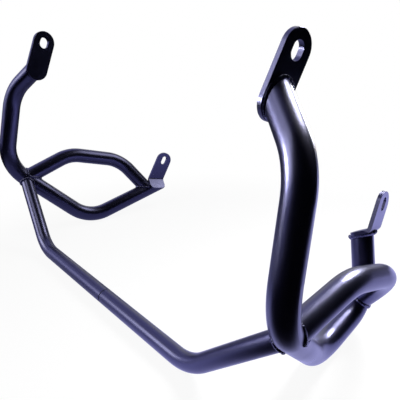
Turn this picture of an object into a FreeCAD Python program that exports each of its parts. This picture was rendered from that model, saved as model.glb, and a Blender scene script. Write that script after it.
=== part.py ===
import FreeCAD, Part
import math
import os

# Engine guard: two welded halves of bent round tube that meet in the middle of the cross tube.
# Millimetres. +X is the rider's left, +Y points to the rear of the motorcycle, +Z is up.
# While it is being drawn the zero point is the middle of the cross tube joint.

# Tube stock
main_od = 28.5
main_wall = 2.0
main_bend = 68.0
loop_od = 27.5
loop_wall = 2.0
loop_bend = 70.0
cross_od = 22.0
cross_wall = 2.0
cross_bend = 70.0

# Corners of the main tube's centre line on the left half, before the bends are rounded
shoulder_x = 311.0
shoulder_y = 22.5
shoulder_z = 251.0
knee_x = 320.0
knee_y = -7.0
knee_z = 123.0
heel_x = 273.0
heel_y = 121.0
heel_z = -3.4
runner_rise = 13.0
runner_toe_in = 3.4

# Rear ends of the main tubes: the left one turns up into a post, the right one runs straight out
left_runner = 115.0
post_back = 19.0
post_in = 25.0
post_up = 79.0
right_runner = 176.0

# Cross tube and loop tube
node_run = 41.0
cross_corner_x = 195.0
loop_crest_x = 312.0
loop_crest_y = 112.0
left_loop_crest_z = 115.5
right_loop_crest_z = 123.0
left_loop_turn_x = 306.5
left_loop_turn_y = 223.0
left_loop_turn_z = 80.0
left_loop_land = 26.0
right_loop_turn_x = 300.0
right_loop_turn_y = 216.0
right_loop_turn_z = 94.0
right_loop_land = 141.0

# Joint in the middle of the cross tube
joint_x = 8.0
joint_chamfer = 0.9
spigot_length = 90.0
spigot_wall = 2.0
spigot_clearance = 0.15

# Upper tabs
upper_face_x = 264.0
upper_thick = 6.0
upper_width = 35.0
upper_pitch = 45.5
upper_crown = 1.2
upper_lean = 25.0
upper_tilt = 5.5
upper_hole_y = 67.7
upper_hole_z = 330.9
upper_seat = 4.0
upper_slot_width = 14.0
upper_slot_length = 18.0

# Rear tabs: a leg with a slotted hole, folded over into a short flap
rear_thick = 5.0
rear_fold = 4.0
rear_width = 33.0
rear_lean = 29.0
rear_tilt = 12.0
rear_toe = 8.0
rear_slot_width = 11.0
rear_slot_length = 18.0
flap_corner = 9.0
left_overhang = 2.65
left_fold_back = 1.15
left_fold_up = 6.1
left_leg_hole = 36.0
left_flap = 28.0
left_flap_drop = 27.0
right_overhang = -12.3
right_fold_back = -13.2
right_notch = 4.1
right_leg_hole = 45.0
right_flap = 25.0
right_flap_drop = 42.0

# Weld beads and plate edges
bead_leg = 3.0
plate_edge = 0.6

main_r = main_od / 2.0
loop_r = loop_od / 2.0
cross_r = cross_od / 2.0


def point(x, y, z):
    return FreeCAD.Vector(x, y, z)


def unit(v):
    return v * (1.0 / v.Length)


def swing(v, axis, degrees):
    return FreeCAD.Rotation(axis, degrees).multVec(v)


# Where a corner between two straight runs is rounded: both ends of the bend, its centre and its axis
def bend_at(before, corner, after, bend):
    way_in = unit(corner - before)
    way_out = unit(after - corner)
    turn = math.acos(way_in.dot(way_out))
    reach = bend * math.tan(turn / 2.0)
    axis = unit(way_in.cross(way_out))
    first = corner - way_in * reach
    centre = first + axis.cross(way_in) * bend
    return first, corner + way_out * reach, centre, axis, math.degrees(turn), way_in


def straight(start, end, radius):
    run = end - start
    return Part.makeCylinder(radius, run.Length, start, run)


# A solid round bar along a line of corners, with every corner bent to the same radius
def bar(corners, bend, radius):
    pieces = []
    start = corners[0]
    for before, corner, after in zip(corners, corners[1:], corners[2:]):
        first, last, centre, axis, turn, way = bend_at(before, corner, after, bend)
        pieces.append(straight(start, first, radius))
        disc = Part.Face(Part.Wire(Part.makeCircle(radius, first, way)))
        pieces.append(disc.revolve(centre, axis, turn))
        start = last
    pieces.append(straight(start, corners[-1], radius))
    return pieces[0].fuse(pieces[1:]).removeSplitter()


def longer(corners, extra):
    first = corners[0] + unit(corners[0] - corners[1]) * extra
    last = corners[-1] + unit(corners[-1] - corners[-2]) * extra
    return [first] + corners[1:-1] + [last]


def largest(shape):
    return max(shape.Solids, key=lambda solid: solid.Volume)


def whole(shape):
    solids = shape.Solids
    if len(solids) == 1:
        return solids[0]
    return Part.Compound(solids)


# A big block standing on one side of a plane
def beyond(origin, normal, depth=400.0, size=400.0):
    turn = FreeCAD.Rotation(point(0, 0, 1), normal)
    block = Part.makeBox(size, size, depth, point(-size / 2.0, -size / 2.0, 0))
    block.Placement = FreeCAD.Placement(origin, turn)
    return block


# A plate with two round ends, flat in the YZ plane from x = 0 to x = thick
def round_ended(width, low, high, thick):
    r = width / 2.0
    along = unit(high - low)
    side = point(1, 0, 0).cross(along) * r
    edges = [
        Part.LineSegment(low + side, high + side).toShape(),
        Part.Arc(high + side, high + along * r, high - side).toShape(),
        Part.LineSegment(high - side, low - side).toShape(),
        Part.Arc(low - side, low - along * r, low + side).toShape(),
    ]
    return Part.Face(Part.Wire(edges)).extrude(point(thick, 0, 0))


def slot_cutter(width, length, middle, along, thick):
    half = along * ((length - width) / 2.0)
    tool = round_ended(width, middle - half, middle + half, thick + 20.0)
    tool.translate(point(-10.0, 0, 0))
    return tool


# Break the sharp rims where the flat faces of a plate meet its edge
def ease(plate, x_faces):
    rims = []
    for face in plate.Faces:
        if isinstance(face.Surface, Part.Plane) and abs(abs(face.normalAt(0, 0).x) - 1.0) < 1e-6:
            if min(abs(face.CenterOfMass.x - x) for x in x_faces) < 1e-6:
                rims.extend(face.OuterWire.Edges)
    return plate.makeChamfer(plate_edge, rims)


# Upper tab of the left half, drawn with its hole at zero; its outer face carries the tube
upper_along = point(0, math.sin(math.radians(upper_lean)), math.cos(math.radians(upper_lean)))
upper_across = point(0, upper_along.z, -upper_along.y)
upper_foot = upper_along * -upper_pitch
upper_head = upper_along * upper_crown
upper_hole = point(upper_face_x, upper_hole_y, upper_hole_z)
upper_spin = FreeCAD.Rotation(upper_across, upper_tilt)
upper_normal = upper_spin.multVec(point(1, 0, 0))


def on_upper(shape, depth):
    placed = shape.copy()
    placed.translate(point(-depth, 0, 0))
    placed.Placement = FreeCAD.Placement(upper_hole, upper_spin).multiply(placed.Placement)
    return placed


def make_upper_tab():
    plate = round_ended(upper_width, upper_foot, upper_head, upper_thick)
    plate = ease(plate, (0.0, upper_thick))
    slot = slot_cutter(upper_slot_width, upper_slot_length, point(0, 0, 0), upper_along, upper_thick)
    return on_upper(plate.cut(slot), upper_thick)


# Rear tab, drawn for the left: the outer bottom edge of the fold at zero, the leg's outer face on x = 0
def make_rear_tab(leg_hole, flap, drop):
    r = rear_width / 2.0
    lean = math.radians(rear_lean - rear_tilt)
    half_fold = r / math.cos(lean)
    fall = math.radians(drop)
    flap_way = point(-math.cos(fall), 0, -math.sin(fall))
    flap_up = point(-math.sin(fall), 0, math.cos(fall))
    leg_top = leg_hole * math.cos(lean) + r + 30.0
    outer = rear_fold + rear_thick
    set_back = outer * math.tan(math.radians(90.0 - drop) / 2.0)
    centre = point(-outer, 0, set_back)
    to_leg = point(1, 0, 0)
    to_flap = flap_up * -1.0
    to_mid = unit(to_leg + to_flap)
    inner_end = flap_way * flap
    outer_leg = centre + to_leg * outer
    outer_flap = centre + to_flap * outer
    inner_leg = centre + to_leg * rear_fold
    inner_flap = centre + to_flap * rear_fold
    edges = [
        Part.LineSegment(point(0, 0, leg_top), outer_leg).toShape(),
        Part.Arc(outer_leg, centre + to_mid * outer, outer_flap).toShape(),
        Part.LineSegment(outer_flap, inner_end).toShape(),
        Part.LineSegment(inner_end, inner_end + flap_up * rear_thick).toShape(),
        Part.LineSegment(inner_end + flap_up * rear_thick, inner_flap).toShape(),
        Part.Arc(inner_flap, centre + to_mid * rear_fold, inner_leg).toShape(),
        Part.LineSegment(inner_leg, point(-rear_thick, 0, leg_top)).toShape(),
        Part.LineSegment(point(-rear_thick, 0, leg_top), point(0, 0, leg_top)).toShape(),
    ]
    strip = Part.Face(Part.Wire(edges)).extrude(point(0, 120.0, 0))
    strip.translate(point(0, -60.0, 0))
    along = point(0, math.sin(lean), math.cos(lean))
    hole = along * leg_hole
    side = point(0, math.cos(lean), -math.sin(lean)) * r
    low = -60.0
    outline = [
        Part.LineSegment(point(0, -half_fold, low), point(0, half_fold, low)).toShape(),
        Part.LineSegment(point(0, half_fold, low), point(0, half_fold, 0)).toShape(),
        Part.LineSegment(point(0, half_fold, 0), hole + side).toShape(),
        Part.Arc(hole + side, hole + along * r, hole - side).toShape(),
        Part.LineSegment(hole - side, point(0, -half_fold, 0)).toShape(),
        Part.LineSegment(point(0, -half_fold, 0), point(0, -half_fold, low)).toShape(),
    ]
    blank = Part.Face(Part.Wire(outline)).extrude(point(-200.0, 0, 0))
    tab = largest(strip.common(blank))
    corners = []
    for edge in tab.Edges:
        middle = edge.CenterOfMass
        if abs(edge.Length - rear_thick) < 1e-4 and (middle - inner_end).dot(flap_way) > -1e-4:
            corners.append(edge)
    tab = tab.makeFillet(flap_corner, corners)
    inner_hole = hole - point(rear_thick, 0, 0)
    tab = tab.cut(slot_cutter(rear_slot_width, rear_slot_length, inner_hole, along, rear_thick))
    return tab, flap_up


rear_spin = FreeCAD.Rotation(point(0, 0, 1), rear_toe)
rear_spin = rear_spin.multiply(FreeCAD.Rotation(point(1, 0, 0), -rear_tilt))


def turned(shape, origin):
    placed = shape.copy()
    placed.Placement = FreeCAD.Placement(origin, rear_spin).multiply(placed.Placement)
    return placed


def turned_way(v):
    return rear_spin.multVec(v)


def mirrored(shape):
    return shape.mirror(point(0, 0, 0), point(1, 0, 0))


# Centre line of the main tube, shared front of both halves
stub = upper_hole - upper_spin.multVec(upper_along) * (upper_pitch - upper_seat)
shoulder = point(shoulder_x, shoulder_y, shoulder_z)
knee = point(knee_x, knee_y, knee_z)
heel = point(heel_x, heel_y, heel_z)
rise = math.radians(runner_rise)
toe = math.radians(runner_toe_in)
runner_way = point(-math.sin(toe) * math.cos(rise), math.cos(toe) * math.cos(rise), math.sin(rise))
stub_start = stub + unit(stub - shoulder) * 40.0
node = knee + unit(heel - knee) * node_run
cross_corner = point(cross_corner_x, 0, 0)

left_corner = heel + runner_way * left_runner
post_top = left_corner + point(-post_in, post_back, post_up)
post_end = post_top + unit(post_top - left_corner) * 40.0
left_line = [stub_start, shoulder, knee, heel, left_corner, post_end]
right_end = heel + runner_way * right_runner
right_line = [stub_start, shoulder, knee, heel, right_end]

# Where the rear tabs fold: beside the top of the post on the left, on the end of the runner on the right
left_fold = post_top + point(main_r + left_overhang, left_fold_back, left_fold_up)
right_fold = right_end + point(main_r + right_overhang, right_fold_back, main_r - right_notch)

# Where the loop tubes come back: on the post bend on the left, on the straight runner on the right
first, last, centre, axis, turn, way = bend_at(heel, left_corner, post_end, main_bend)
left_landing = centre + swing(first - centre, axis, left_loop_land)
right_landing = heel + runner_way * right_loop_land
left_crest = point(loop_crest_x, loop_crest_y, left_loop_crest_z)
right_crest = point(loop_crest_x, loop_crest_y, right_loop_crest_z)
left_turn = point(left_loop_turn_x, left_loop_turn_y, left_loop_turn_z)
right_turn = point(right_loop_turn_x, right_loop_turn_y, right_loop_turn_z)

sides = {
    "left": {
        "main": left_line,
        "loop": [node, left_crest, left_turn, left_landing],
        "fold": left_fold,
        "tab": (left_leg_hole, left_flap, left_flap_drop),
        "joint": joint_x,
    },
    "right": {
        "main": right_line,
        "loop": [node, right_crest, right_turn, right_landing],
        "fold": right_fold,
        "tab": (right_leg_hole, right_flap, right_flap_drop),
        "joint": -joint_x,
    },
}


# One half, drawn on the +X side
def make_half(plan, is_left):
    pieces = {}
    main_solid = bar(plan["main"], main_bend, main_r)
    main_bore = bar(longer(plan["main"], 5.0), main_bend, main_r - main_wall)
    main_fat = bar(plan["main"], main_bend, main_r + bead_leg)
    loop_solid = bar(plan["loop"], loop_bend, loop_r)
    loop_bore = bar(plan["loop"], loop_bend, loop_r - loop_wall)
    loop_fat = bar(plan["loop"], loop_bend, loop_r + bead_leg)
    cross_line = [node, cross_corner, point(plan["joint"], 0, 0)]
    cross_solid = bar(cross_line, cross_bend, cross_r)
    cross_bore = bar(longer(cross_line, 5.0), cross_bend, cross_r - cross_wall)
    cross_fat = bar(cross_line, cross_bend, cross_r + bead_leg)

    upper_tab = make_upper_tab()
    tab, flap_up = make_rear_tab(*plan["tab"])
    rear_tab = turned(tab, plan["fold"])
    flap_normal = turned_way(flap_up)
    flap_side = turned_way(point(0, 1, 0))

    # Main tube: cut flat against the upper tab, and at the rear to seat under the flap
    inside_upper = beyond(stub, upper_normal * -1.0, 100.0, 160.0)
    rear_cut = beyond(plan["fold"], flap_normal)
    if not is_left:
        half_fold = rear_width / 2.0 / math.cos(math.radians(rear_lean - rear_tilt))
        rear_cut = rear_cut.common(beyond(plan["fold"] - flap_side * half_fold, flap_side))
    main_outer = largest(main_solid.cut(inside_upper).cut(rear_cut))
    pieces["main_tube"] = largest(main_outer.cut(main_bore))

    loop_outer = largest(loop_solid.cut([main_solid, rear_tab]))
    pieces["loop_tube"] = largest(loop_outer.cut(loop_bore))
    cross_tube = largest(largest(cross_solid.cut(main_solid)).cut(cross_bore))
    rims = []
    for edge in cross_tube.Edges:
        if edge.BoundBox.XMax < plan["joint"] + 1e-6 and abs(edge.BoundBox.YLength - cross_od) < 1e-3:
            rims.append(edge)
    pieces["cross_tube"] = cross_tube.makeChamfer(joint_chamfer, rims)
    pieces["upper_tab"] = upper_tab
    pieces["rear_tab"] = rear_tab

    # Weld beads fill the corner between two pieces
    upper_slab = beyond(stub, upper_normal, bead_leg, 160.0)
    upper_bead = main_fat.common(upper_slab).cut(main_solid)
    footprint = round_ended(upper_width, upper_foot, upper_head, 30.0)
    pieces["upper_weld"] = whole(upper_bead.common(on_upper(footprint, 10.0)))

    loop_bead = loop_fat.common(main_fat).cut([main_solid, loop_solid])
    node_ball = Part.makeSphere(60.0, node)
    front_bead = loop_bead.common(node_ball).cut(cross_solid)
    pieces["loop_front_weld"] = whole(front_bead)
    back_bead = loop_bead.cut([node_ball, rear_tab])
    pieces["loop_rear_weld"] = whole(back_bead)
    cross_bead = cross_fat.common(main_fat).cut([main_solid, cross_solid, loop_solid, front_bead])
    pieces["cross_weld"] = whole(cross_bead)

    rear_slab = beyond(plan["fold"] - flap_normal * bead_leg, flap_normal, bead_leg)
    rear_bead = main_fat.common(rear_slab).cut([main_solid, rear_tab, loop_solid, back_bead])
    if not is_left:
        rear_bead = rear_bead.common(beyond(plan["fold"] - flap_side * half_fold, flap_side))
    pieces["rear_weld"] = whole(rear_bead)
    return pieces


parts = {}
for name, shape in make_half(sides["left"], True).items():
    parts["left_" + name] = shape
for name, shape in make_half(sides["right"], False).items():
    parts["right_" + name] = mirrored(shape)

# Sleeve inside the joint of the cross tubes
spigot_r = cross_r - cross_wall - spigot_clearance
spigot_start = point(joint_x - spigot_length / 2.0, 0, 0)
spigot = Part.makeCylinder(spigot_r, spigot_length, spigot_start, point(1, 0, 0))
spigot_bore = Part.makeCylinder(spigot_r - spigot_wall, spigot_length, spigot_start, point(1, 0, 0))
parts["joint_spigot"] = spigot.cut(spigot_bore)

# Set the whole guard down with its lowest point on z = 0 and the middle of its length over the zero point
box = FreeCAD.BoundBox()
for shape in parts.values():
    box.add(shape.optimalBoundingBox(False))
move = point(0, -(box.YMin + box.YMax) / 2.0, -box.ZMin)
os.makedirs("parts", exist_ok=True)
for name, shape in parts.items():
    placed = shape.copy()
    placed.translate(move)
    placed.exportStep("parts/" + name + ".step")
print("move", move, "size", box.XLength, box.YLength, box.ZLength)
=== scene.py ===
import bpy
import math
from mathutils import Matrix, Vector
from mathutils.bvhtree import BVHTree


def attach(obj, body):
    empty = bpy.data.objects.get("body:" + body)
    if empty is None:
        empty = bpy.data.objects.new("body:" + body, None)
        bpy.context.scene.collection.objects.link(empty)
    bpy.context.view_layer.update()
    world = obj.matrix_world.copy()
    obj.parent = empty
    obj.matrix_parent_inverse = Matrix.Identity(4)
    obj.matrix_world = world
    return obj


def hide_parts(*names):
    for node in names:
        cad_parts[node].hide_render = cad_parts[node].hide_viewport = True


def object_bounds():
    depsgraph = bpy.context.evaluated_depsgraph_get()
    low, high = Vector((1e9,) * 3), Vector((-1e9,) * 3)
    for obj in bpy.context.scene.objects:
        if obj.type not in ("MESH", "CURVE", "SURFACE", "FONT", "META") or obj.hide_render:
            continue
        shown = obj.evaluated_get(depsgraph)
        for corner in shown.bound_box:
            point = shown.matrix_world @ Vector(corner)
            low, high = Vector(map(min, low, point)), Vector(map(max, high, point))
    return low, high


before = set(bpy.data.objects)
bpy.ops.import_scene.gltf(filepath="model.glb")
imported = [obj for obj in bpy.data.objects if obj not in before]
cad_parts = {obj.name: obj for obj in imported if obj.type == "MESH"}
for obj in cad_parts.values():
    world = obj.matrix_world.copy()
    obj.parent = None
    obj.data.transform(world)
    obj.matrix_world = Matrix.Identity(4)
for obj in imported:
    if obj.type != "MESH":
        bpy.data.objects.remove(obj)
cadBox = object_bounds()
bpy.ops.object.select_all(action="DESELECT")
scene = bpy.context.scene
scene.view_settings.view_transform = "Standard"
mmPerMetre = 1000    # small sizes are written in mm, Blender works in metres
print("frame loaded:", len(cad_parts), "CAD nodes")


def linear(hexColour):
    channels = []
    for start in (1, 3, 5):
        value = int(hexColour[start:start + 2], 16) / 255
        channels.append(value / 12.92 if value <= 0.04045 else ((value + 0.055) / 1.055) ** 2.4)
    return (*channels, 1.0)


def addNode(tree, kind, values=None, links=None, **settings):
    node = tree.nodes.new(kind)
    for name, value in settings.items():
        setattr(node, name, value)
    for socket, value in (values or {}).items():
        node.inputs[socket].default_value = value
    for socket, source in (links or {}).items():
        tree.links.new(source, node.inputs[socket])
    return node


def newMaterial(name):
    material = bpy.data.materials.new(name)
    material.use_nodes = True
    material.node_tree.nodes.clear()
    return material, material.node_tree


# Black polyester powder coat: sprayed on dry and baked, it flows out to a glossy
# blue-black skin with a faint orange peel
coat = {
    "colour": "#03030c",
    "thinColour": "#070718",     # where the film is thin
    "tint": "#c4c4ff",           # of what it reflects
    "ior": 2.0,
    "smooth": 0.27,              # roughness, least and most
    "rough": 0.34,
    "peelSize": 2.2,             # mm between the peel's dimples
    "peelDepth": 0.012,          # mm
    "peelStrength": 0.1,
    "peelDetail": 1.0,
    "cloudSize": 40.0,           # mm, slow change of film thickness
    "cloudDetail": 2.0,
    "cloudRange": (0.3, 0.7),    # the part of the noise that the roughness follows
    "joint": None,
}
coatOverWeld = {**coat, "peelSize": 1.2, "smooth": 0.18, "rough": 0.26}    # glossier on the beads
# The open line where the two cross tubes meet, in mm along X; painted shade makes it near black
crossJoint = {"place": 8.0, "half": 1.3, "soft": 0.5, "grooveShade": "#010103"}


def makeCoat(name, settings):
    material, tree = newMaterial(name)
    coords = addNode(tree, "ShaderNodeTexCoord")
    place = coords.outputs["Object"]
    cloud = addNode(
        tree, "ShaderNodeTexNoise",
        {"Scale": mmPerMetre / settings["cloudSize"], "Detail": settings["cloudDetail"]},
        {"Vector": place},
    )
    peel = addNode(
        tree, "ShaderNodeTexNoise",
        {"Scale": mmPerMetre / settings["peelSize"], "Detail": settings["peelDetail"]},
        {"Vector": place},
    )
    colour = addNode(
        tree, "ShaderNodeMix",
        {6: linear(settings["colour"]), 7: linear(settings["thinColour"])},
        {0: cloud.outputs["Fac"]}, data_type="RGBA",
    )
    rough = addNode(
        tree, "ShaderNodeMapRange",
        {
            "From Min": settings["cloudRange"][0], "From Max": settings["cloudRange"][1],
            "To Min": settings["smooth"], "To Max": settings["rough"],
        },
        {"Value": cloud.outputs["Fac"]},
    )
    base, gloss = colour.outputs[2], rough.outputs["Result"]
    joint = settings["joint"]
    if joint:
        axes = addNode(tree, "ShaderNodeSeparateXYZ", links={0: place})
        away = addNode(
            tree, "ShaderNodeMath", {1: joint["place"] / mmPerMetre}, {0: axes.outputs["X"]},
            operation="SUBTRACT",
        )
        away = addNode(
            tree, "ShaderNodeMath", links={0: away.outputs["Value"]}, operation="ABSOLUTE",
        )
        ring = addNode(
            tree, "ShaderNodeMapRange",
            {
                "From Min": (joint["half"] - joint["soft"]) / mmPerMetre,
                "From Max": joint["half"] / mmPerMetre,
                "To Min": 1.0, "To Max": 0.0,
            },
            {"Value": away.outputs["Value"]},
        )
        # painted shade in the gap between the cross tubes: the ring goes near black
        shadedGroove = addNode(
            tree, "ShaderNodeMix", {7: linear(joint["grooveShade"])},
            {0: ring.outputs["Result"], 6: base}, data_type="RGBA",
        )
        dull = addNode(
            tree, "ShaderNodeMath", links={0: gloss, 1: ring.outputs["Result"]},
            operation="MAXIMUM",
        )
        base, gloss = shadedGroove.outputs[2], dull.outputs["Value"]
    bump = addNode(
        tree, "ShaderNodeBump",
        {"Strength": settings["peelStrength"], "Distance": settings["peelDepth"] / mmPerMetre},
        {"Height": peel.outputs["Fac"]},
    )
    shader = addNode(
        tree, "ShaderNodeBsdfPrincipled",
        {"IOR": settings["ior"], "Specular Tint": linear(settings["tint"])},
        {"Base Color": base, "Roughness": gloss, "Normal": bump.outputs["Normal"]},
    )
    addNode(tree, "ShaderNodeOutputMaterial", links={"Surface": shader.outputs["BSDF"]})
    return material


# Drawn steel tube left bare inside the joint: fine lines along its length
bareSteel = {
    "colour": "#8d8f94",
    "darkColour": "#6f7176",
    "lineWidth": 0.8,      # mm
    "lineLength": 40.0,    # mm
    "lineDetail": 3.0,
    "smooth": 0.25,        # roughness, least and most
    "rough": 0.5,
}


def makeBareSteel(settings):
    material, tree = newMaterial("drawnSteel")
    coords = addNode(tree, "ShaderNodeTexCoord")
    along, across = mmPerMetre / settings["lineLength"], mmPerMetre / settings["lineWidth"]
    stretch = addNode(
        tree, "ShaderNodeMapping", {"Scale": (along, across, across)},
        {"Vector": coords.outputs["Object"]},
    )
    lines = addNode(
        tree, "ShaderNodeTexNoise", {"Scale": 1.0, "Detail": settings["lineDetail"]},
        {"Vector": stretch.outputs["Vector"]},
    )
    colour = addNode(
        tree, "ShaderNodeMix",
        {6: linear(settings["darkColour"]), 7: linear(settings["colour"])},
        {0: lines.outputs["Fac"]}, data_type="RGBA",
    )
    rough = addNode(
        tree, "ShaderNodeMapRange", {"To Min": settings["smooth"], "To Max": settings["rough"]},
        {"Value": lines.outputs["Fac"]},
    )
    shader = addNode(
        tree, "ShaderNodeBsdfPrincipled", {"Metallic": 1.0},
        {"Base Color": colour.outputs[2], "Roughness": rough.outputs["Result"]},
    )
    addNode(tree, "ShaderNodeOutputMaterial", links={"Surface": shader.outputs["BSDF"]})
    return material


powderCoat = makeCoat("blackPowderCoat", coat)
jointedCoat = makeCoat("blackPowderCoatAtJoint", {**coat, "joint": crossJoint})
weldCoat = makeCoat("blackPowderCoatOverWeld", coatOverWeld)
drawnSteel = makeBareSteel(bareSteel)
for name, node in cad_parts.items():
    material = powderCoat
    if "cross_tube" in name:
        material = jointedCoat
    if "weld" in name:
        material = weldCoat
    if name == "joint_spigot":
        material = drawnSteel
    for slot in node.material_slots:
        slot.material = material
print("materials assigned")

# Weld beads: drops laid one on the last along the root of each seam, run together into
# one rippled skin
bead = {
    "step": 1.9,        # mm from drop to drop
    "length": 1.5,      # mm, half the drop along the seam
    "width": 2.7,       # mm, half across it
    "height": 1.7,      # mm, half its thickness
    "lift": 0.7,        # mm from the root out of the corner
    "crown": 0.3,       # where the drop's crown starts, in half heights
    "layBack": 0.35,    # how far the crown leans on the drop before, in half lengths
    "segments": 10,
    "rings": 6,
    "uneven": 0.06,     # share by which the drops differ in size
    "beat": 2.4,        # radians of that change from drop to drop
    "voxel": 0.45,      # mm
    "relax": 0.5,
    "relaxTimes": 2,
    "touch": 0.15,      # mm, a point of the CAD weld this near to both pieces is on the root
    "apart": 0.2,       # mm, nearer than this two points are one
    "jump": 9.0,        # mm, a longer step along the root starts a new run
    "fewest": 5,        # points in a run
    "ring": 3.0,        # mm, ends nearer than this close the run
    "corner": 5.5,      # mm round a drop, where the CAD weld tells which way is out
}
fullBead = {**bead, "width": 4.2, "height": 2.8, "lift": 1.4}    # under the flap on the post
seams = {}
for side in ("left", "right"):
    seams[side + "_cross_weld"] = (side + "_cross_tube", side + "_main_tube")
    seams[side + "_loop_front_weld"] = (side + "_loop_tube", side + "_main_tube")
    seams[side + "_loop_rear_weld"] = (side + "_loop_tube", side + "_main_tube")
    seams[side + "_rear_weld"] = (side + "_rear_tab", side + "_main_tube")
    seams[side + "_upper_weld"] = (side + "_upper_tab", side + "_main_tube")


def nearestTree(name):
    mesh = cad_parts[name].data
    return BVHTree.FromPolygons([v.co for v in mesh.vertices], [p.vertices for p in mesh.polygons])


def rootRuns(weld, first, second, settings):
    trees = (nearestTree(first), nearestTree(second))
    touch, apart, jump = (settings[key] / mmPerMetre for key in ("touch", "apart", "jump"))
    loose = []
    for vertex in weld.data.vertices:
        if all(tree.find_nearest(vertex.co)[3] < touch for tree in trees):
            if all((vertex.co - other).length > apart for other in loose):
                loose.append(vertex.co.copy())
    middle = sum(loose, Vector()) / len(loose)
    runs = []
    while loose:
        run = [max(loose, key=lambda co: (co - middle).length)]
        loose.remove(run[0])
        while loose:
            following = min(loose, key=lambda co: (co - run[-1]).length)
            if (following - run[-1]).length > jump:
                break
            loose.remove(following)
            run.append(following)
        runs.append(run)
    return [run for run in runs if len(run) >= settings["fewest"]]


def dropPlaces(run, settings):
    closed = (run[0] - run[-1]).length < settings["ring"] / mmPerMetre
    corners = run + [run[0]] if closed else run
    lengths = [(b - a).length for a, b in zip(corners, corners[1:])]
    count = max(2, round(sum(lengths) / (settings["step"] / mmPerMetre)))
    places = []
    for i in range(count if closed else count + 1):
        left = sum(lengths) * i / count
        k = 0
        while k < len(lengths) - 1 and left > lengths[k]:
            left -= lengths[k]
            k += 1
        places.append(corners[k].lerp(corners[k + 1], min(1.0, left / lengths[k])))
    return places, closed


# One drop with its crown pushed back; every drop of the beads is a copy of it
bpy.ops.mesh.primitive_uv_sphere_add(
    segments=bead["segments"], ring_count=bead["rings"], radius=1.0,
)
drop = bpy.context.object
drop.name = "weldDrop"
bpy.ops.object.mode_set(mode="EDIT")
bpy.ops.mesh.select_all(action="DESELECT")
bpy.ops.object.mode_set(mode="OBJECT")
for vertex in drop.data.vertices:
    vertex.select = vertex.co.z > bead["crown"]
bpy.ops.object.mode_set(mode="EDIT")
bpy.ops.transform.translate(value=(-bead["layBack"], 0, 0))
bpy.ops.object.mode_set(mode="OBJECT")


def layBead(weldName, first, second, settings):
    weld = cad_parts[weldName]
    corner = settings["corner"] / mmPerMetre
    drops = []
    for run in rootRuns(weld, first, second, settings):
        places, closed = dropPlaces(run, settings)
        for i, place in enumerate(places):
            before = places[i - 1] if closed or i else place
            after = places[(i + 1) % len(places)] if closed or i + 1 < len(places) else place
            along = (after - before).normalized()
            near = [v.co - place for v in weld.data.vertices if (v.co - place).length < corner]
            out = sum(near, Vector())
            out = (out - along * out.dot(along)).normalized()
            size = 1.0 + settings["uneven"] * math.sin(i * settings["beat"] + len(weldName))
            copy = drop.copy()
            copy.data = drop.data.copy()
            scene.collection.objects.link(copy)
            half = Matrix.Diagonal((
                settings["length"] / mmPerMetre,
                settings["width"] * size / mmPerMetre,
                settings["height"] * size / mmPerMetre,
                1.0,
            ))
            turn = Matrix((along, out.cross(along), out)).transposed().to_4x4()
            lift = Matrix.Translation(place + out * settings["lift"] / mmPerMetre)
            copy.matrix_world = lift @ turn @ half
            drops.append(copy)
    bpy.ops.object.select_all(action="DESELECT")
    for copy in drops:
        copy.select_set(True)
    bpy.context.view_layer.objects.active = drops[0]
    bpy.ops.object.join()
    skin = bpy.context.object
    skin.name = weldName + "_bead"
    bpy.ops.object.transform_apply(location=True, rotation=True, scale=True)
    fuse = skin.modifiers.new("fuse", "REMESH")
    fuse.mode = "VOXEL"
    fuse.voxel_size = settings["voxel"] / mmPerMetre
    bpy.ops.object.modifier_apply(modifier="fuse")
    relax = skin.modifiers.new("relax", "SMOOTH")
    relax.factor = settings["relax"]
    relax.iterations = settings["relaxTimes"]
    bpy.ops.object.modifier_apply(modifier="relax")
    bpy.ops.object.shade_smooth()
    skin.data.materials.clear()
    skin.data.materials.append(weldCoat)
    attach(skin, "root")
    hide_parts(weldName)
    return skin


for weldName, (first, second) in seams.items():
    skin = layBead(weldName, first, second, fullBead if weldName == "left_rear_weld" else bead)
    print("bead laid:", skin.name, len(skin.data.polygons), "faces")
bpy.data.objects.remove(drop)

# White table top, plain white to the camera away from the object. The coat reflects it as a
# pale glow with the room dark beyond it. Sizes are in metres.
table = {
    "half": 30.0,
    "gap": 0.0002,                  # under the object
    "colour": "#f4f4f4",
    "shadow": 0.07,                 # share of the shaded paper that the camera sees near the object
    "white": (0.30, 0.55),          # from here to here that share goes to nothing
    "mirrored": "#c4c4ff",          # the glow
    "level": 1.65,
    "middle": (0.05, -0.05, 0.0),
    "whiteOut": 0.50,
    "darkFrom": 0.72,
    "front": (0.76, -0.65, 0.0),    # it ends in front of the object, on the camera's side
    "frontEdge": (0.25, 0.36),
    "farSide": (-0.12, 0.20),       # it is weaker from the middle to the far side
    "shade": 0.35,
    "backMiddle": 0.36,             # and stronger in a strip behind the near half
    "backHalf": (0.28, 0.14),
    "backFrom": (0.16, 0.45),
    "backLevel": 2.3,
}
bpy.ops.mesh.primitive_plane_add(
    size=2 * table["half"], location=(0, 0, cadBox[0][2] - table["gap"]),
)
floor = bpy.context.object
floor.name = "tableTop"
material, tree = newMaterial("whiteTable")
coords = addNode(tree, "ShaderNodeTexCoord")
place = coords.outputs["Object"]
path = addNode(tree, "ShaderNodeLightPath")
axes = addNode(tree, "ShaderNodeSeparateXYZ", links={0: place})
lit = addNode(
    tree, "ShaderNodeVectorMath", {1: table["middle"]}, {0: place}, operation="DISTANCE",
)
fade = addNode(
    tree, "ShaderNodeMapRange",
    {
        "From Min": table["whiteOut"], "From Max": table["darkFrom"],
        "To Min": table["level"], "To Max": 0.0,
    },
    {"Value": lit.outputs["Value"]}, interpolation_type="SMOOTHSTEP",
)
ahead = addNode(
    tree, "ShaderNodeVectorMath", {1: table["front"]}, {0: place}, operation="DOT_PRODUCT",
)
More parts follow.
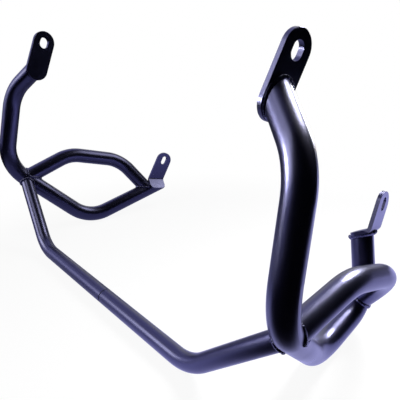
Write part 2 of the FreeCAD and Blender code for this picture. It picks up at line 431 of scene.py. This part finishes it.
sheet = addNode(
    tree, "ShaderNodeMapRange",
    {
        "From Min": table["frontEdge"][0], "From Max": table["frontEdge"][1],
        "To Min": 1.0, "To Max": 0.0,
    },
    {"Value": ahead.outputs["Value"]}, interpolation_type="SMOOTHSTEP",
)
shade = addNode(
    tree, "ShaderNodeMapRange",
    {
        "From Min": table["farSide"][0], "From Max": table["farSide"][1],
        "To Min": table["shade"], "To Max": 1.0,
    },
    {"Value": axes.outputs["X"]}, interpolation_type="SMOOTHSTEP",
)
patch = addNode(
    tree, "ShaderNodeMath", links={0: fade.outputs["Result"], 1: sheet.outputs["Result"]},
    operation="MULTIPLY",
)
patch = addNode(
    tree, "ShaderNodeMath", links={0: patch.outputs["Value"], 1: shade.outputs["Result"]},
    operation="MULTIPLY",
)
aside = addNode(
    tree, "ShaderNodeMath", {1: table["backMiddle"]}, {0: axes.outputs["X"]},
    operation="SUBTRACT",
)
aside = addNode(
    tree, "ShaderNodeMath", links={0: aside.outputs["Value"]}, operation="ABSOLUTE",
)
backX = addNode(
    tree, "ShaderNodeMapRange",
    {
        "From Min": table["backHalf"][0], "From Max": table["backHalf"][1],
        "To Max": table["backLevel"],
    },
    {"Value": aside.outputs["Value"]}, interpolation_type="SMOOTHSTEP",
)
backY = addNode(
    tree, "ShaderNodeMapRange",
    {"From Min": table["backFrom"][0], "From Max": table["backFrom"][1]},
    {"Value": axes.outputs["Y"]}, interpolation_type="SMOOTHSTEP",
)
strip = addNode(
    tree, "ShaderNodeMath", links={0: backX.outputs["Result"], 1: backY.outputs["Result"]},
    operation="MULTIPLY",
)
strength = addNode(
    tree, "ShaderNodeMath", links={0: patch.outputs["Value"], 1: strip.outputs["Value"]},
    operation="MAXIMUM",
)
glow = addNode(
    tree, "ShaderNodeEmission", {"Color": linear(table["mirrored"])},
    {"Strength": strength.outputs["Value"]},
)
reach = addNode(tree, "ShaderNodeVectorMath", links={0: place}, operation="LENGTH")
whiten = addNode(
    tree, "ShaderNodeMapRange",
    {
        "From Min": table["white"][0], "From Max": table["white"][1],
        "To Min": 1.0 - table["shadow"], "To Max": 1.0,
    },
    {"Value": reach.outputs["Value"]}, interpolation_type="SMOOTHSTEP",
)
white = addNode(tree, "ShaderNodeEmission", {"Color": (1, 1, 1, 1), "Strength": 1.0})
paper = addNode(tree, "ShaderNodeBsdfDiffuse", {"Color": linear(table["colour"])})
seen = addNode(
    tree, "ShaderNodeMixShader",
    links={0: whiten.outputs["Result"], 1: paper.outputs["BSDF"], 2: white.outputs["Emission"]},
)
toCamera = addNode(
    tree, "ShaderNodeMixShader",
    links={0: path.outputs["Is Camera Ray"], 1: paper.outputs["BSDF"], 2: seen.outputs["Shader"]},
)
mirrored = addNode(
    tree, "ShaderNodeMath",
    links={0: path.outputs["Is Glossy Ray"], 1: path.outputs["Is Transmission Ray"]},
    operation="MAXIMUM",
)
surface = addNode(
    tree, "ShaderNodeMixShader",
    links={
        0: mirrored.outputs["Value"],
        1: toCamera.outputs["Shader"], 2: glow.outputs["Emission"],
    },
)
addNode(tree, "ShaderNodeOutputMaterial", links={"Surface": surface.outputs["Shader"]})
floor.data.materials.append(material)
print("table laid")

# Room: white to the camera, and white behind the object in reflections. Elsewhere they see a
# dark room with a pale wall on the left, another high at the back, and a white panel above
# the first. A wall's edge and full are cosines of the angle from its middle.
room = {
    "ambient": "#e6e8f2",
    "light": 0.15,
    "dim": 0.002,
    "walls": {
        "low": {
            "towards": (-0.73, -0.67, 0.12), "edge": 0.72, "full": 0.96,
            "bright": 1.3, "colour": "#bcbcff",
        },
        "high": {
            "towards": (-0.75, 0.15, 0.65), "edge": 0.70, "full": 0.94,
            "bright": 1.0, "colour": "#c8c8ff",
        },
        "panel": {
            "towards": (-0.55, -0.72, 0.42), "edge": 0.94, "full": 0.992,
            "bright": 6.2, "colour": "#ffffff",
        },
        "backdrop": {
            "towards": (-0.76, 0.65, 0.0), "edge": 0.80, "full": 0.90,
            "bright": 1.0, "colour": "#ffffff",
        },
    },
}
world = bpy.data.worlds.new("studio")
scene.world = world
world.use_nodes = True
tree = world.node_tree
tree.nodes.clear()
coords = addNode(tree, "ShaderNodeTexCoord")
path = addNode(tree, "ShaderNodeLightPath")
brightest = None
for wall in room["walls"].values():
    facing = addNode(
        tree, "ShaderNodeVectorMath", {1: wall["towards"]}, {0: coords.outputs["Generated"]},
        operation="DOT_PRODUCT",
    )
    level = addNode(
        tree, "ShaderNodeMapRange",
        {
            "From Min": wall["edge"], "From Max": wall["full"],
            "To Min": room["dim"], "To Max": wall["bright"],
        },
        {"Value": facing.outputs["Value"]}, interpolation_type="SMOOTHSTEP",
    )
    glow = addNode(
        tree, "ShaderNodeVectorMath", {0: linear(wall["colour"])[:3]},
        {"Scale": level.outputs["Result"]}, operation="SCALE",
    )
    if brightest:
        glow = addNode(
            tree, "ShaderNodeVectorMath", links={0: brightest, 1: glow.outputs["Vector"]},
            operation="MAXIMUM",
        )
    brightest = glow.outputs["Vector"]
ambient = addNode(
    tree, "ShaderNodeBackground",
    {"Color": linear(room["ambient"]), "Strength": room["light"]},
)
reflected = addNode(tree, "ShaderNodeBackground", links={"Color": brightest})
white = addNode(tree, "ShaderNodeBackground", {"Color": (1, 1, 1, 1), "Strength": 1.0})
glossy = addNode(
    tree, "ShaderNodeMixShader",
    links={
        0: path.outputs["Is Glossy Ray"],
        1: ambient.outputs["Background"], 2: reflected.outputs["Background"],
    },
)
clear = addNode(
    tree, "ShaderNodeMath",
    links={0: path.outputs["Is Camera Ray"], 1: path.outputs["Is Transmission Ray"]},
    operation="MAXIMUM",
)
final = addNode(
    tree, "ShaderNodeMixShader",
    links={0: clear.outputs["Value"], 1: glossy.outputs["Shader"], 2: white.outputs["Background"]},
)
addNode(tree, "ShaderNodeOutputWorld", links={"Surface": final.outputs["Shader"]})

# Soft boxes: one on the camera's left and one high on that side; on the right, behind the
# object, a high one, a low one and a wide one for the far half
lamps = {
    "leftBox": {
        "place": (-0.66, -0.90, 0.49), "aim": (0.31, -0.14, 0.285),
        "width": 0.30, "height": 0.24, "watts": 0.31, "spread": 20,
    },
    "backBox": {
        "place": (0.16, 0.72, 0.84), "aim": (0.31, 0.06, 0.07),
        "width": 0.34, "height": 0.50, "watts": 2.8, "spread": 50,
    },
    "topBox": {
        "place": (-0.20, -0.75, 1.20), "aim": (-0.20, -0.15, 0.05),
        "width": 0.6, "height": 0.6, "watts": 3.0, "spread": 180,
    },
    "edgeBox": {
        "place": (0.09, 0.74, 0.38), "aim": (0.30, -0.10, 0.34),
        "width": 0.20, "height": 0.22, "watts": 0.12, "spread": 18,
    },
    "farBox": {
        "place": (-0.02, 0.85, 1.00), "aim": (-0.26, 0.00, 0.08),
        "width": 0.9, "height": 0.5, "watts": 5.0, "spread": 180,
    },
}
for name, lamp in lamps.items():
    data = bpy.data.lights.new(name, "AREA")
    data.shape = "RECTANGLE"
    data.size = lamp["width"]
    data.size_y = lamp["height"]
    data.energy = lamp["watts"]
    data.spread = math.radians(lamp["spread"])
    light = bpy.data.objects.new(name, data)
    scene.collection.objects.link(light)
    light.visible_camera = False
    aim = Vector(lamp["aim"]) - Vector(lamp["place"])
    light.location = lamp["place"]
    light.rotation_euler = aim.to_track_quat("-Z", "Y").to_euler()
print("studio built")

# Camera where the photograph was taken from
shot = {
    "place": (0.50974, -0.39994, 0.35825),
    "right": (0.649616, 0.760156, -0.012737),
    "down": (0.260140, -0.237992, -0.935782),
    "ahead": (-0.714372, 0.604585, -0.352350),
    "lens": 40.5,       # mm
    "sensor": 36.0,     # mm
    "nearest": 0.01,    # metres
}
lensData = bpy.data.cameras.new("shot")
lensData.sensor_width = shot["sensor"]
lensData.lens = shot["lens"]
lensData.clip_start = shot["nearest"]
camera = bpy.data.objects.new("shot", lensData)
scene.collection.objects.link(camera)
up, behind = [-v for v in shot["down"]], [-v for v in shot["ahead"]]
turn = Matrix((shot["right"], up, behind)).transposed()
camera.matrix_world = Matrix.Translation(shot["place"]) @ turn.to_4x4()
scene.camera = camera
print("camera placed")
